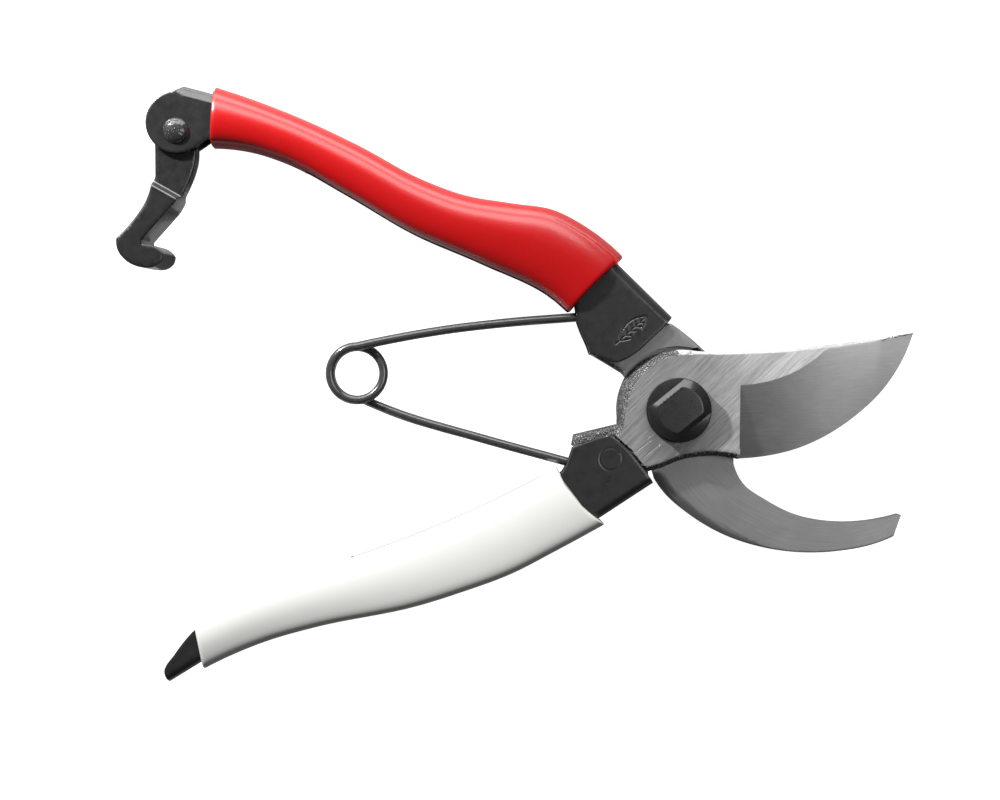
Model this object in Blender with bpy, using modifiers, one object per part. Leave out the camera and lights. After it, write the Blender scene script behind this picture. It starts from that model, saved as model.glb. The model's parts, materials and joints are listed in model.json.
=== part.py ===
"""Bypass pruner of forged and pressed steel, lying flat and fully open.

The pivot axis is +Z through the origin, and z = 0 is the end of the pivot bolt.
The two handles run towards -X and the two blades towards +X. Lengths below are in
millimetres, measured from the pivot and from the plane where the two halves meet.
"""
import bmesh
import bpy
from math import cos, pi, radians, sin
from mathutils import Matrix, Vector

MM = 0.001
MEETING_HEIGHT = 11.0          # the plane where the two halves meet, above the bolt's end
GAP = 0.3                      # between pieces that touch on the real tool
HALF_GAP = GAP / 2

FORGING = 4.2                  # thickness of each half's hub, from the meeting plane
TANG_HALF = 2.7                # half the thickness of a tang, between the flanges
SHEET = 1.3                    # pressed sheet of the handles
CHANNEL_HALF = 4.3             # half the width of a handle channel, over its flanges
GRIP_HALF = 6.6                # half the thickness of a grip sleeve
SLEEVE_WALL = 1.4              # vinyl along the edges of a handle
TANG_CLEARANCE_RADIUS = 14.6   # the tangs stay outside this, round the other half's hub
LINK_LOW = 0.6                 # underside of the web that joins the front hub to its tang
LINK_HIGH = TANG_HALF - GAP
EDGE_LAND = 0.35               # thickness left along the cutting edge

SHANK_RADIUS = 4.0
PIVOT_HOLE_RADIUS = SHANK_RADIUS + GAP
SHANK_POINT = 0.5              # chamfer at the end of the shank
BOLT_FLANGE_RADIUS = 7.6
BOLT_FLANGE_THICKNESS = 0.8
BOLT_HEAD_RADIUS = 7.25
BOLT_TOP_RADIUS = 5.7
BOLT_FLAT_HALF = 5.0
BOLT_FLAT_TURN = 38            # degrees
BOLT_TOP = 8.4
BOLT_CONE_HEIGHT = 1.5
WASHER_RADIUS = 7.0
WASHER_THICKNESS = 1.2
NUT_ACROSS_FLATS = 13.0
NUT_HEIGHT = 4.6

WIRE_RADIUS = 1.0
COIL_CENTRE = (-75.2, 8.2)
COIL_RADIUS = 6.25
COIL_PITCH = 2.4
SPRING_FOOT = (-25.8, -12.2)   # where the lower leg turns in the white handle
NOTCH_HALF = 3.2               # slot in the white grip that the spring folds into

LATCH_AXIS = (-117.4, 64.7)
EAR_CENTRE = (-117.0, 67.1)
EAR_RADIUS = 7.2
LATCH_EYE_RADIUS = 5.4
LATCH_ARM_HALF = 2.7
LATCH_HOOK_HALF = 5.0
LATCH_PIN_RADIUS = 2.0
LATCH_HEAD_RADIUS = 2.7
LATCH_DOME_HEIGHT = 1.3
LATCH_BACK_HEAD = 0.6

NECK_RIVET_RADIUS = 2.4
TANG_RIVET_RADIUS = 1.9
RIVET_RIM = 0.2
WHITE_RIVETS = [(-15.8, -11.4), (-32.0, -25.8)]
RED_RIVETS = [(-21.6, 32.0), (-30.5, 37.2)]

SPLINE_STEPS = 3               # facets along each span of a smooth edge
ROUND_SIDES = 32
HOLE_SIDES = 20
CUT_REACH = 6.0                # how far a cutting tool reaches past what it cuts
GRIP_STATIONS = 13
GRIP_SIDES = 16
GRIP_SQUARENESS = 3.2          # exponent of the superellipse across a grip

# Edges of the grip sleeves, from the pivot end to the tail.
RED_GRIP_OUTER = [(-12.5, 35.8), (-21.6, 43.2), (-29.0, 47.0), (-39.0, 48.6), (-50.0, 50.5),
                  (-60.0, 54.2), (-74.5, 62.0), (-88.6, 68.6), (-108.4, 75.8)]
RED_GRIP_INNER = [(-25.6, 22.6), (-28.9, 25.6), (-46.0, 34.2), (-62.0, 41.2), (-78.0, 50.5),
                  (-92.0, 58.0), (-100.0, 60.6), (-109.2, 61.6)]
WHITE_GRIP_OUTER = [(-17.0, -26.5), (-28.7, -32.9), (-39.2, -38.3), (-50.0, -42.3),
                    (-60.4, -45.6), (-85.1, -50.8), (-95.6, -53.8), (-110.8, -60.5)]
WHITE_GRIP_INNER = [(-28.3, -13.1), (-40.0, -19.2), (-53.3, -25.4), (-74.5, -33.6),
                    (-95.6, -40.4), (-113.2, -48.2)]


def smooth(stops, steps=SPLINE_STEPS):
    """Points on a curve through the stops, by cubic pieces; two stops give a straight line."""
    stops = [Vector(stop) for stop in stops]
    if len(stops) == 2:
        return stops
    spans = [(b - a).length for a, b in zip(stops, stops[1:])]
    chords = [(b - a) / span for a, b, span in zip(stops, stops[1:], spans)]
    slopes = [(chords[i] * spans[i + 1] + chords[i + 1] * spans[i]) / (spans[i] + spans[i + 1])
              for i in range(len(chords) - 1)]
    slopes = [2 * chords[0] - slopes[0]] + slopes + [2 * chords[-1] - slopes[-1]]
    points = []
    for i, span in enumerate(spans):
        for step in range(steps):
            t = step / steps
            points.append(stops[i] * (2 * t**3 - 3 * t**2 + 1)
                          + stops[i + 1] * (3 * t**2 - 2 * t**3)
                          + slopes[i] * span * (t**3 - 2 * t**2 + t)
                          + slopes[i + 1] * span * (t**3 - t**2))
    return points + [stops[-1]]


def outline(*runs):
    """A closed outline. Each run starts at a corner and leads smoothly to the next run's."""
    points = []
    for run, following in zip(runs, runs[1:] + runs[:1]):
        points += smooth(list(run) + [following[0]])[:-1]
    return points


def arc(centre, radius, start, end, steps):
    """Points on a circular arc, its angles in degrees."""
    angles = [radians(start + (end - start) * i / steps) for i in range(steps + 1)]
    return [Vector((centre[0] + radius * cos(a), centre[1] + radius * sin(a))) for a in angles]


def circle(centre, radius, sides=ROUND_SIDES):
    return arc(centre, radius, 0, 360, sides)[:-1]


def inset(points, distance):
    """The open line shifted to its left by a distance."""
    shifted = []
    for i, point in enumerate(points):
        along = points[min(i + 1, len(points) - 1)] - points[max(i - 1, 0)]
        shifted.append(point + distance * Vector((-along.y, along.x)).normalized())
    return shifted


def resample(points, count):
    """The open line again, as evenly spaced points."""
    lengths = [0.0]
    for a, b in zip(points, points[1:]):
        lengths.append(lengths[-1] + (b - a).length)
    result = []
    for i in range(count):
        target = lengths[-1] * i / (count - 1)
        k = max(j for j in range(len(points) - 1) if lengths[j] <= target + 1e-9)
        share = (target - lengths[k]) / (lengths[k + 1] - lengths[k])
        result.append(points[k].lerp(points[k + 1], min(share, 1.0)))
    return result


def new_collection(name):
    collection = bpy.data.collections.new(name)
    bpy.context.scene.collection.children.link(collection)
    return collection


def empty(name, centre):
    """An empty on a joint's axis, at the height of the meeting plane."""
    holder = bpy.data.objects.new(name, None)
    holder.location = (centre[0] * MM, centre[1] * MM, MEETING_HEIGHT * MM)
    PRUNER.objects.link(holder)
    return holder


def material(name, colour, roughness, metallic):
    surface = bpy.data.materials.new(name)
    surface.use_nodes = True
    shader = surface.node_tree.nodes["Principled BSDF"]
    shader.inputs["Base Color"].default_value = (*colour, 1.0)
    shader.inputs["Roughness"].default_value = roughness
    shader.inputs["Metallic"].default_value = metallic
    return surface


def mesh_object(name, mesh, scale=MM):
    """An object in the pruner's collection, its mesh turned from millimetres to metres."""
    mesh.transform(Matrix.Scale(scale, 4))
    model = bmesh.new()
    model.from_mesh(mesh)
    bmesh.ops.remove_doubles(model, verts=model.verts, dist=0.00001)
    bmesh.ops.recalc_face_normals(model, faces=model.faces)
    model.to_mesh(mesh)
    model.free()
    thing = bpy.data.objects.new(name, mesh)
    PRUNER.objects.link(thing)
    return thing


def from_curve(name, curve, matrix=Matrix()):
    """A mesh object from a curve drawn in millimetres."""
    guide = bpy.data.objects.new(name + "_curve", curve)
    guide.matrix_world = matrix
    bpy.context.scene.collection.objects.link(guide)
    bpy.context.view_layer.update()
    depsgraph = bpy.context.evaluated_depsgraph_get()
    mesh = bpy.data.meshes.new_from_object(guide.evaluated_get(depsgraph))
    mesh.transform(guide.matrix_world)
    mesh.name = name
    bpy.data.objects.remove(guide)
    return mesh_object(name, mesh)


def plate(name, loops, low, high):
    """A flat piece between two heights: the first loop is its outline, the others its holes."""
    curve = bpy.data.curves.new(name, 'CURVE')
    curve.dimensions = '2D'
    curve.fill_mode = 'BOTH'
    curve.extrude = (high - low) / 2
    for loop in loops:
        spline = curve.splines.new('POLY')
        spline.points.add(len(loop) - 1)
        for point, (x, y) in zip(spline.points, loop):
            point.co = (x, y, 0, 1)
        spline.use_cyclic_u = True
    return from_curve(name, curve, Matrix.Translation((0, 0, (low + high) / 2)))


def tube(name, path, radius):
    """A wire of round section along a path of points in space."""
    curve = bpy.data.curves.new(name, 'CURVE')
    curve.dimensions = '3D'
    curve.bevel_depth = radius
    curve.bevel_resolution = 2
    curve.use_fill_caps = True
    spline = curve.splines.new('POLY')
    spline.points.add(len(path) - 1)
    for point, place in zip(spline.points, path):
        point.co = (*place, 1)
    return from_curve(name, curve)


def turned(name, profile, centre=(0, 0)):
    """A solid of revolution about a line along Z, from (radius, height) pairs, top first."""
    mesh = bpy.data.meshes.new(name)
    points = [(radius * MM, 0, height * MM) for radius, height in profile]
    mesh.from_pydata(points, [(i, i + 1) for i in range(len(points) - 1)], [])
    guide = bpy.data.objects.new(name + "_profile", mesh)
    bpy.context.scene.collection.objects.link(guide)
    screw = guide.modifiers.new("turn", 'SCREW')
    screw.steps = screw.render_steps = ROUND_SIDES
    screw.use_merge_vertices = True
    screw.merge_threshold = 0.00001
    bpy.context.view_layer.update()
    depsgraph = bpy.context.evaluated_depsgraph_get()
    solid = bpy.data.meshes.new_from_object(guide.evaluated_get(depsgraph))
    solid.transform(Matrix.Translation((centre[0] * MM, centre[1] * MM, 0)))
    bpy.data.objects.remove(guide)
    return mesh_object(name, solid, scale=1.0)


def pin(name, centre, radius, low, high):
    """A plain round pin between two heights, its rims slightly broken."""
    return turned(name, [(0, high), (radius - RIVET_RIM, high), (radius, high - RIVET_RIM),
                         (radius, low + RIVET_RIM), (radius - RIVET_RIM, low), (0, low)], centre)


def loft(name, sections):
    """A closed skin over sections with the same number of points each, capped at both ends."""
    model = bmesh.new()
    rings = [[model.verts.new(point) for point in section] for section in sections]
    sides = len(rings[0])
    for ring, following in zip(rings, rings[1:]):
        for i in range(sides):
            j = (i + 1) % sides
            model.faces.new((ring[i], ring[j], following[j], following[i]))
    model.faces.new(rings[0])
    model.faces.new(rings[-1])
    mesh = bpy.data.meshes.new(name)
    model.to_mesh(mesh)
    model.free()
    return mesh_object(name, mesh)


def combine(target, other, operation):
    """Join the other object to the target, or cut it from the target."""
    if operation == 'DIFFERENCE':
        PRUNER.objects.unlink(other)
        CUTTERS.objects.link(other)
        other.hide_render = True
        other.display_type = 'WIRE'
    modifier = target.modifiers.new(other.name, 'BOOLEAN')
    modifier.operation = operation
    modifier.solver = 'EXACT'
    modifier.object = other
    bpy.context.view_layer.update()
    depsgraph = bpy.context.evaluated_depsgraph_get()
    mesh = bpy.data.meshes.new_from_object(target.evaluated_get(depsgraph))
    target.modifiers.clear()
    target.data = mesh
    if operation == 'UNION':
        bpy.data.objects.remove(other)
    return target


def bore_hole(target, centre, radius):
    """Cut a round hole right through a piece."""
    loop = circle(centre, radius, HOLE_SIDES)
    return combine(target, plate("hole", [loop], -CUT_REACH, CUT_REACH), 'DIFFERENCE')


def extended(line):
    """The open line carried on straight past both of its ends."""
    return ([line[0] + (line[0] - line[1]).normalized() * CUT_REACH] + line
            + [line[-1] + (line[-1] - line[-2]).normalized() * CUT_REACH])


def finish(thing, holder, surface, sharp_angle=40):
    """Shade a piece, give it its material, and hang it on the empty of its body."""
    thing.data.materials.clear()
    thing.data.materials.append(surface)
    thing.data.shade_smooth()
    thing.data.set_sharp_from_angle(angle=radians(sharp_angle))
    thing.parent = holder
    thing.location = (-holder.location.x, -holder.location.y, 0)
    return thing


def blade_section(spine, bevel, edge, height):
    """One section of the cutting blade, across its width at one place along it."""
    return [(*spine, HALF_GAP), (*spine, height), (*bevel, height),
            (*edge, HALF_GAP + EDGE_LAND), (*edge, HALF_GAP)]


def cutting_blade():
    """Blade, hub and tang of the front half: one forging, ground to an edge."""
    hub = plate("cutting_blade", [outline(
        [(14.6, 13.7), (6.4, 13.6), (-0.5, 14.0), (-7.6, 11.8), (-12.6, 6.6), (-14.2, 0.6)],
        [(-14.2, -3.2), (-14.7, -5.9)],
        [(-14.9, -6.0), (-13.4, -7.2), (-11.3, -9.0), (-9.2, -11.6)],
        [(-7.0, -14.3), (-3.9, -13.4), (0.4, -11.7), (5.0, -10.8)],
        [(13.8, -11.4)],
        [(14.6, 0.0)]), circle((0, 0), PIVOT_HOLE_RADIUS)], HALF_GAP, FORGING)
    spine = [(13.6, 13.7), (20.0, 13.9), (27.3, 14.4), (34.0, 15.2), (41.0, 16.1),
             (48.3, 17.1), (53.0, 17.9), (55.4, 18.1)]
    bevel = [(13.6, 5.8), (20.0, 6.6), (27.3, 9.4), (34.0, 14.2), (41.0, 15.1),
             (48.3, 16.1), (53.0, 16.9), (55.4, 17.9)]
    edge = [(13.6, -11.4), (20.0, -10.9), (27.3, -9.3), (34.0, -6.5), (41.0, -2.0),
            (48.3, 4.8), (53.0, 12.0), (55.4, 17.6)]
    heights = [3.7, 3.6, 3.4, 3.1, 2.7, 2.1, 1.6, 1.2]
    blade = loft("blade", [blade_section(*row) for row in zip(spine, bevel, edge, heights)])
    combine(hub, blade, 'UNION')
    combine(hub, plate("tang", [outline(
        [(-14.4, -3.38)], [(-24.4, -5.72)], [(-24.9, -8.2)], [(-20.4, -11.5)], [(-21.5, -16.5)],
        [(-37.0, -24.6)], [(-38.0, -31.8)], [(-18.0, -22.6)])
        + [Vector((-6.9, -15.3))]
        + arc((0, 0), TANG_CLEARANCE_RADIUS, 241, 196, 8)], -TANG_HALF, TANG_HALF), 'UNION')
    combine(hub, plate("link", [outline(
        [(-10.5, -3.6)], [(-18.5, -5.0)], [(-18.0, -16.0)], [(-9.5, -15.8)],
        [(-7.6, -13.6)])], LINK_LOW, LINK_HIGH), 'UNION')
    for centre, radius in zip(WHITE_RIVETS, (NECK_RIVET_RADIUS, TANG_RIVET_RADIUS)):
        bore_hole(hub, centre, radius + GAP)
    return finish(hub, BLADE_HALF, BLADE_STEEL)


def counter_blade():
    """Hooked counter-blade, hub and tang of the back half: one forging."""
    hook = plate("counter_blade", [outline(
        [(6.4, 13.7), (10.6, 10.4), (13.6, 4.6), (14.2, -2.0), (13.3, -9.0), (13.3, -12.6),
         (15.6, -17.3), (20.7, -21.0), (27.7, -24.5), (38.3, -26.4), (46.0, -25.9)],
        [(52.4, -24.6)],
        [(52.6, -25.5)],
        [(50.8, -29.8), (46.0, -31.1), (38.3, -32.8), (30.1, -33.5), (20.7, -32.4),
         (10.1, -28.9), (3.1, -24.7), (-3.6, -18.6)],
        [(-5.2, -16.2)],
        [(-6.6, -12.5), (-11.9, -7.6), (-14.1, 0.0), (-13.2, 5.2)],
        [(-12.1, 7.75)],
        [(-13.25, 8.8)],
        [(-14.3, 10.6), (-11.5, 11.8), (-8.6, 13.9), (-5.7, 16.5)],
        [(-1.5, 20.3)],
        [(3.1, 16.8)]), circle((0, 0), PIVOT_HOLE_RADIUS)], -FORGING, -HALF_GAP)
    combine(hook, plate("tang", [outline(
        [(-20.7, 13.3)], [(-17.8, 17.8)], [(-17.5, 24.0)], [(-24.0, 28.6)], [(-36.0, 34.6)],
        [(-35.5, 41.0)], [(-26.0, 39.6)], [(-15.2, 32.4)], [(-3.1, 20.3)], [(-1.5, 20.2)],
        [(3.1, 16.7)])
        + [Vector((4.9, 15.0))]
        + arc((0, 0), TANG_CLEARANCE_RADIUS + GAP, 74, 144, 8)
        + [Vector((-13.2, 8.9))]], -TANG_HALF, TANG_HALF), 'UNION')
    for centre in RED_RIVETS:
        bore_hole(hook, centre, TANG_RIVET_RADIUS + GAP)
    return finish(hook, HOOK_HALF, HOOK_STEEL)


def channel(name, edge, outer, web_end, holes, holder):
    """A handle pressed from sheet: two flanges and a web along the outer edge.

    The slot between the flanges runs along the outer edge, a sheet's thickness inside it,
    and opens beyond the web's end, the pivot end and the whole inner side.
    """
    body = plate(name, [edge], -CHANNEL_HALF, CHANNEL_HALF)
    slot = plate(name + "_slot", [inset(outer, SHEET) + web_end], -TANG_HALF - GAP,
                 TANG_HALF + GAP)
    combine(body, slot, 'DIFFERENCE')
    for centre, radius in holes:
        bore_hole(body, centre, radius + GAP)
    return finish(body, holder, BLACK_STEEL)


def red_handle():
    """Channel of the upper handle, with two round ears for the latch at its tail."""
    outer = inset(smooth(RED_GRIP_OUTER), SLEEVE_WALL + GAP)[1:-1]
    inner = inset(smooth(RED_GRIP_INNER[::-1]), SLEEVE_WALL + GAP)[1:-2]
    top = [Vector((-1.4, 21.7)), Vector((-13.7, 33.8))] + outer + [Vector((-115.4, 75.6))]
    edge = (top + arc(EAR_CENTRE, EAR_RADIUS, 96, 301, 14) + [Vector((-109.8, 63.3))]
            + inner + [Vector((-24.0, 24.4))]
            + outline([(-23.6, 20.7), (-22.7, 18.2), (-21.4, 15.3)], [(-20.6, 13.1)],
                      [(-14.6, 11.0), (-11.8, 12.1), (-8.9, 14.1), (-6.0, 16.8), (-3.0, 19.7)],
                      [(-1.4, 21.7)])[:-1])
    slot_edge = [Vector((6.0, 14.4))] + top
    beyond = [Vector(place) for place in
              [(-115.4, 82), (-132, 82), (-132, 52), (-104, 52), (-24, 8), (0, 0)]]
    holes = [(centre, TANG_RIVET_RADIUS) for centre in RED_RIVETS]
    return channel("red_handle", edge, slot_edge, beyond,
                   holes + [(LATCH_AXIS, LATCH_PIN_RADIUS)], HOOK_HALF)


def white_handle():
    """Channel of the lower handle, its tail cut to a point for the latch."""
    outer = inset(smooth(WHITE_GRIP_OUTER[::-1]), SLEEVE_WALL + GAP)[:-1]
    inner = inset(smooth(WHITE_GRIP_INNER), SLEEVE_WALL + GAP)[1:-1]
    edge = (outline([(-5.8, -17.0), (-7.4, -14.6), (-9.5, -11.9), (-11.6, -9.3),
                     (-13.7, -7.4), (-15.3, -6.2), (-16.5, -6.0), (-18.2, -6.4),
                     (-21.1, -7.4)],
                    [(-24.6, -8.8), (-25.9, -12.3)], [(-27.1, -14.5)])
            + inner
            + smooth([(-113.2, -51.6), (-117.2, -56.6), (-119.8, -61.2), (-118.7, -63.4)])
            + outer + [Vector((-17.7, -24.8))])
    slot_edge = extended([Vector((-118.7, -63.4))] + outer
                         + [Vector((-17.7, -24.8)), Vector((-5.8, -17.0))])
    beyond = [Vector(place) for place in [(0, 0), (-24, 8), (-100, -30), (-130, -42)]]
    return channel("white_handle", edge, slot_edge, beyond,
                   list(zip(WHITE_RIVETS, (NECK_RIVET_RADIUS, TANG_RIVET_RADIUS))), BLADE_HALF)


def grip(name, outer, inner, holder, surface, notch=None):
    """A vinyl sleeve over a channel: a tube of rounded section, open at both ends.

    A notch is the outline of a slot through the inner wall, where the spring folds in.
    """
    outer = smooth(outer)
    inner = smooth(inner)
    sections = []
    for a, b in zip(resample(outer, GRIP_STATIONS), resample(inner, GRIP_STATIONS)):
        middle, half = (a + b) / 2, (a - b) / 2
        section = []
        for i in range(GRIP_SIDES):
            angle = 2 * pi * (i + 0.5) / GRIP_SIDES
            power = 2 / GRIP_SQUARENESS
            across = abs(cos(angle))**power * (1 if cos(angle) > 0 else -1)
            up = abs(sin(angle))**power * (1 if sin(angle) > 0 else -1)
            side = abs(cos(pi / GRIP_SIDES))**power
            place = middle + half * across / side
            section.append((place.x, place.y, GRIP_HALF * up / side))
        sections.append(section)
    sleeve = loft(name, sections)
    side = 1 if (outer[0] - inner[0]).y > 0 else -1
    edges = []
    for line, sign in ((outer, side), (inner, -side)):
        edges.append(extended(inset(line, sign * SLEEVE_WALL)))
    bore = plate(name + "_bore", [edges[0] + edges[1][::-1]], -CHANNEL_HALF - GAP,
                 CHANNEL_HALF + GAP)
    combine(sleeve, bore, 'DIFFERENCE')
    if notch:
        slot = plate(name + "_notch", [notch], -NOTCH_HALF, NOTCH_HALF)
        combine(sleeve, slot, 'DIFFERENCE')
    return finish(sleeve, holder, surface)


def pivot_bolt():
    """Pivot bolt: shank, thin round flange and a head with two flats."""
    under = FORGING + GAP
    flange_top = under + BOLT_FLANGE_THICKNESS
    bolt = turned("pivot_bolt", [
        (0, BOLT_TOP), (BOLT_TOP_RADIUS, BOLT_TOP),
        (BOLT_HEAD_RADIUS, BOLT_TOP - BOLT_CONE_HEIGHT),
        (BOLT_HEAD_RADIUS, flange_top), (BOLT_FLANGE_RADIUS, flange_top),
        (BOLT_FLANGE_RADIUS, under), (SHANK_RADIUS, under),
        (SHANK_RADIUS, -MEETING_HEIGHT + SHANK_POINT),
        (SHANK_RADIUS - SHANK_POINT, -MEETING_HEIGHT),
        (0, -MEETING_HEIGHT)])
    turn = Matrix.Rotation(radians(BOLT_FLAT_TURN), 2)
    wide = BOLT_FLANGE_RADIUS + 1
    for side in (-1, 1):
        corners = [(-wide, BOLT_FLAT_HALF), (wide, BOLT_FLAT_HALF), (wide, wide), (-wide, wide)]
        loop = [turn @ Vector((x, side * y)) for x, y in corners]
        combine(bolt, plate("bolt_flat", [loop], flange_top + 0.02, BOLT_TOP + 1), 'DIFFERENCE')
    return finish(bolt, BLADE_HALF, BLACK_STEEL)


def spring_washer():
    """Washer between the back hub and the nut."""
    top = -FORGING - GAP
    washer = plate("spring_washer", [circle((0, 0), WASHER_RADIUS),
                                     circle((0, 0), PIVOT_HOLE_RADIUS)],
                   top - WASHER_THICKNESS, top)
    return finish(washer, BLADE_HALF, BLACK_STEEL)


def pivot_nut():
    """Hexagon nut on the end of the pivot bolt."""
    top = -FORGING - 2 * GAP - WASHER_THICKNESS
    corner = NUT_ACROSS_FLATS / 2 / cos(radians(30))
    nut = plate("pivot_nut", [circle((0, 0), corner, 6), circle((0, 0), PIVOT_HOLE_RADIUS)],
                top - NUT_HEIGHT, top)
    return finish(nut, BLADE_HALF, BLACK_STEEL)


def rivets():
    """Flush rivets that hold each channel to its tang."""
    names = ["white_neck_rivet", "white_tang_rivet", "red_neck_rivet", "red_tang_rivet"]
    radii = [NECK_RIVET_RADIUS] + [TANG_RIVET_RADIUS] * 3
    holders = [BLADE_HALF] * 2 + [HOOK_HALF] * 2
    for name, centre, radius, holder in zip(names, WHITE_RIVETS + RED_RIVETS, radii, holders):
        finish(pin(name, centre, radius, -CHANNEL_HALF, CHANNEL_HALF), holder, BLACK_STEEL)


def coil(start, end, height):
    """Turns of the return spring from one angle to another, sinking as they go."""
    facet = 18
    count = round((end - start) / facet)
    path = []
    for i in range(count + 1):
        angle = start + (end - start) * i / count
        sink = COIL_PITCH * (angle - 90) / 360
        path.append((COIL_CENTRE[0] + COIL_RADIUS * cos(radians(angle)),
                     COIL_CENTRE[1] + COIL_RADIUS * sin(radians(angle)), height - sink))
    return path


def spring():
    """Hairpin spring of one wire, in two pieces that turn about the coil's axis."""
    top = COIL_PITCH * 0.75
    upper_leg = smooth([(-75.2, 14.45), (-67.4, 16.2), (-53.3, 18.7), (-39.2, 20.4),
                        (-24.0, 21.7), (-21.4, 21.9)], 2)
    lower_leg = smooth([(-73.6, 2.1), (-67.4, -0.2), (-46.3, -6.6), SPRING_FOOT,
                        (-23.6, -12.8)], 2)
    split = 4
    upper = [(x, y, top) for x, y in upper_leg[:0:-1]] + coil(90, 360 - split, top)
    lower = coil(360 + split, 630, top) + [(x, y, -top) for x, y in lower_leg]
    finish(tube("spring_upper", upper, WIRE_RADIUS), SPRING_UPPER, SPRING_STEEL, 60)
    finish(tube("spring_lower", lower, WIRE_RADIUS), SPRING_LOWER, SPRING_STEEL, 60)


def latch():
    """Latch: a thin arm between the ears and a thicker hook for the white handle's tail."""
    arm = plate("latch", [
        arc(LATCH_AXIS, LATCH_EYE_RADIUS, -30, 205, 12)
        + [Vector(place) for place in [(-122.2, 60.5), (-122.2, 50.0), (-119.0, 47.0)]]
        + smooth([(-116.4, 49.8), (-114.2, 53.9), (-112.5, 59.5)])],
        -LATCH_ARM_HALF, LATCH_ARM_HALF)
    hook = plate("hook", [outline(
        [(-122.9, 52.9), (-124.0, 48.7), (-126.2, 45.2), (-128.4, 42.5)],
        [(-130.9, 40.0), (-130.6, 37.3), (-128.4, 34.6), (-125.0, 33.2), (-121.4, 33.6)],
        [(-119.5, 36.9)], [(-125.2, 38.3)],
        [(-125.0, 39.6)], [(-116.0, 49.7)])],
        -LATCH_HOOK_HALF, LATCH_HOOK_HALF)
    combine(arm, hook, 'UNION')
    bore_hole(arm, LATCH_AXIS, LATCH_PIN_RADIUS + GAP)
    return finish(arm, LATCH, BLACK_STEEL)


def latch_rivet():
    """Rivet that the latch turns on, with a domed head in front and a flat one behind."""
    under = CHANNEL_HALF + GAP
    dome = [(LATCH_HEAD_RADIUS * sin(radians(a)), under + LATCH_DOME_HEIGHT * cos(radians(a)))
            for a in range(0, 90, 18)]
    rivet = turned("latch_rivet", dome + [
        (LATCH_HEAD_RADIUS, under), (LATCH_PIN_RADIUS, under), (LATCH_PIN_RADIUS, -under),
        (LATCH_HEAD_RADIUS, -under), (LATCH_HEAD_RADIUS, -under - LATCH_BACK_HEAD),
        (0, -under - LATCH_BACK_HEAD)], LATCH_AXIS)
    return finish(rivet, HOOK_HALF, BLACK_STEEL)


for thing in list(bpy.data.objects):
    bpy.data.objects.remove(thing)

PRUNER = new_collection("bypass_pruner")
CUTTERS = new_collection("cutters")

BLADE_HALF = empty("blade_half", (0, 0))
HOOK_HALF = empty("hook_half", (0, 0))
LATCH = empty("latch_axis", LATCH_AXIS)
SPRING_LOWER = empty("spring_foot", SPRING_FOOT)
SPRING_UPPER = empty("spring_coil", COIL_CENTRE)

BLADE_STEEL = material("ground_steel", (0.42, 0.42, 0.42), 0.32, 1.0)
HOOK_STEEL = material("satin_steel", (0.30, 0.30, 0.30), 0.38, 1.0)
BLACK_STEEL = material("black_oxide_steel", (0.035, 0.035, 0.036), 0.45, 0.8)
SPRING_STEEL = material("spring_steel", (0.08, 0.08, 0.08), 0.35, 1.0)
RED_VINYL = material("red_vinyl", (0.70, 0.004, 0.004), 0.35, 0.0)
WHITE_VINYL = material("white_vinyl", (0.82, 0.82, 0.79), 0.35, 0.0)

cutting_blade()
counter_blade()
red_handle()
white_handle()
grip("red_grip", RED_GRIP_OUTER, RED_GRIP_INNER, HOOK_HALF, RED_VINYL)
grip("white_grip", WHITE_GRIP_OUTER, WHITE_GRIP_INNER, BLADE_HALF, WHITE_VINYL,
     notch=[(-24.0, -6.0), (-24.0, -18.0), (-41.0, -23.0), (-38.0, -12.0)])
pivot_bolt()
spring_washer()
pivot_nut()
rivets()
spring()
latch()
latch_rivet()
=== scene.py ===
"""Looks of the bypass pruner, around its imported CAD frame: lying flat and fully open.

Shapes are drawn in millimetres from the pivot and from the plane where the halves meet.
"""
import bmesh
import bpy
import json
import numpy as np
from math import cos, pi, radians, sin
from mathutils import Matrix, Vector, noise
from mathutils.geometry import delaunay_2d_cdt

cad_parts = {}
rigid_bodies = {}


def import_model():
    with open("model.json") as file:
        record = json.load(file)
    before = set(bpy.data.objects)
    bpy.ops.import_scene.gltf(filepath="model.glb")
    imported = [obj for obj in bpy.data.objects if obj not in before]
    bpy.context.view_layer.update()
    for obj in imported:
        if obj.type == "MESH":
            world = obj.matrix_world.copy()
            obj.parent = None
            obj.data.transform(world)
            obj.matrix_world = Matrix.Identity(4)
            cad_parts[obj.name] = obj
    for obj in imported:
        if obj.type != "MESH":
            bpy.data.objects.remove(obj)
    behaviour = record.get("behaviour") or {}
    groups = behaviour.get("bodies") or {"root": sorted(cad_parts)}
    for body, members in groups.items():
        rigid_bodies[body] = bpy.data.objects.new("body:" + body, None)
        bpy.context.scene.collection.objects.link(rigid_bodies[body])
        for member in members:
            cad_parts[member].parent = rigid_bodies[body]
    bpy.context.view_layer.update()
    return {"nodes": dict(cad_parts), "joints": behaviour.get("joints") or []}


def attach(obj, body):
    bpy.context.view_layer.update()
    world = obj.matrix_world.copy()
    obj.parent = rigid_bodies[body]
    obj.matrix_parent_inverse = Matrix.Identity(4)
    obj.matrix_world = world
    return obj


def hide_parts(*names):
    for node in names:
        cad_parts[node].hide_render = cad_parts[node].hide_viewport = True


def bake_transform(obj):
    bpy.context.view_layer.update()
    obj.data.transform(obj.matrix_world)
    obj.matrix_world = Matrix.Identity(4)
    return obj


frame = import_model()

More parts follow.
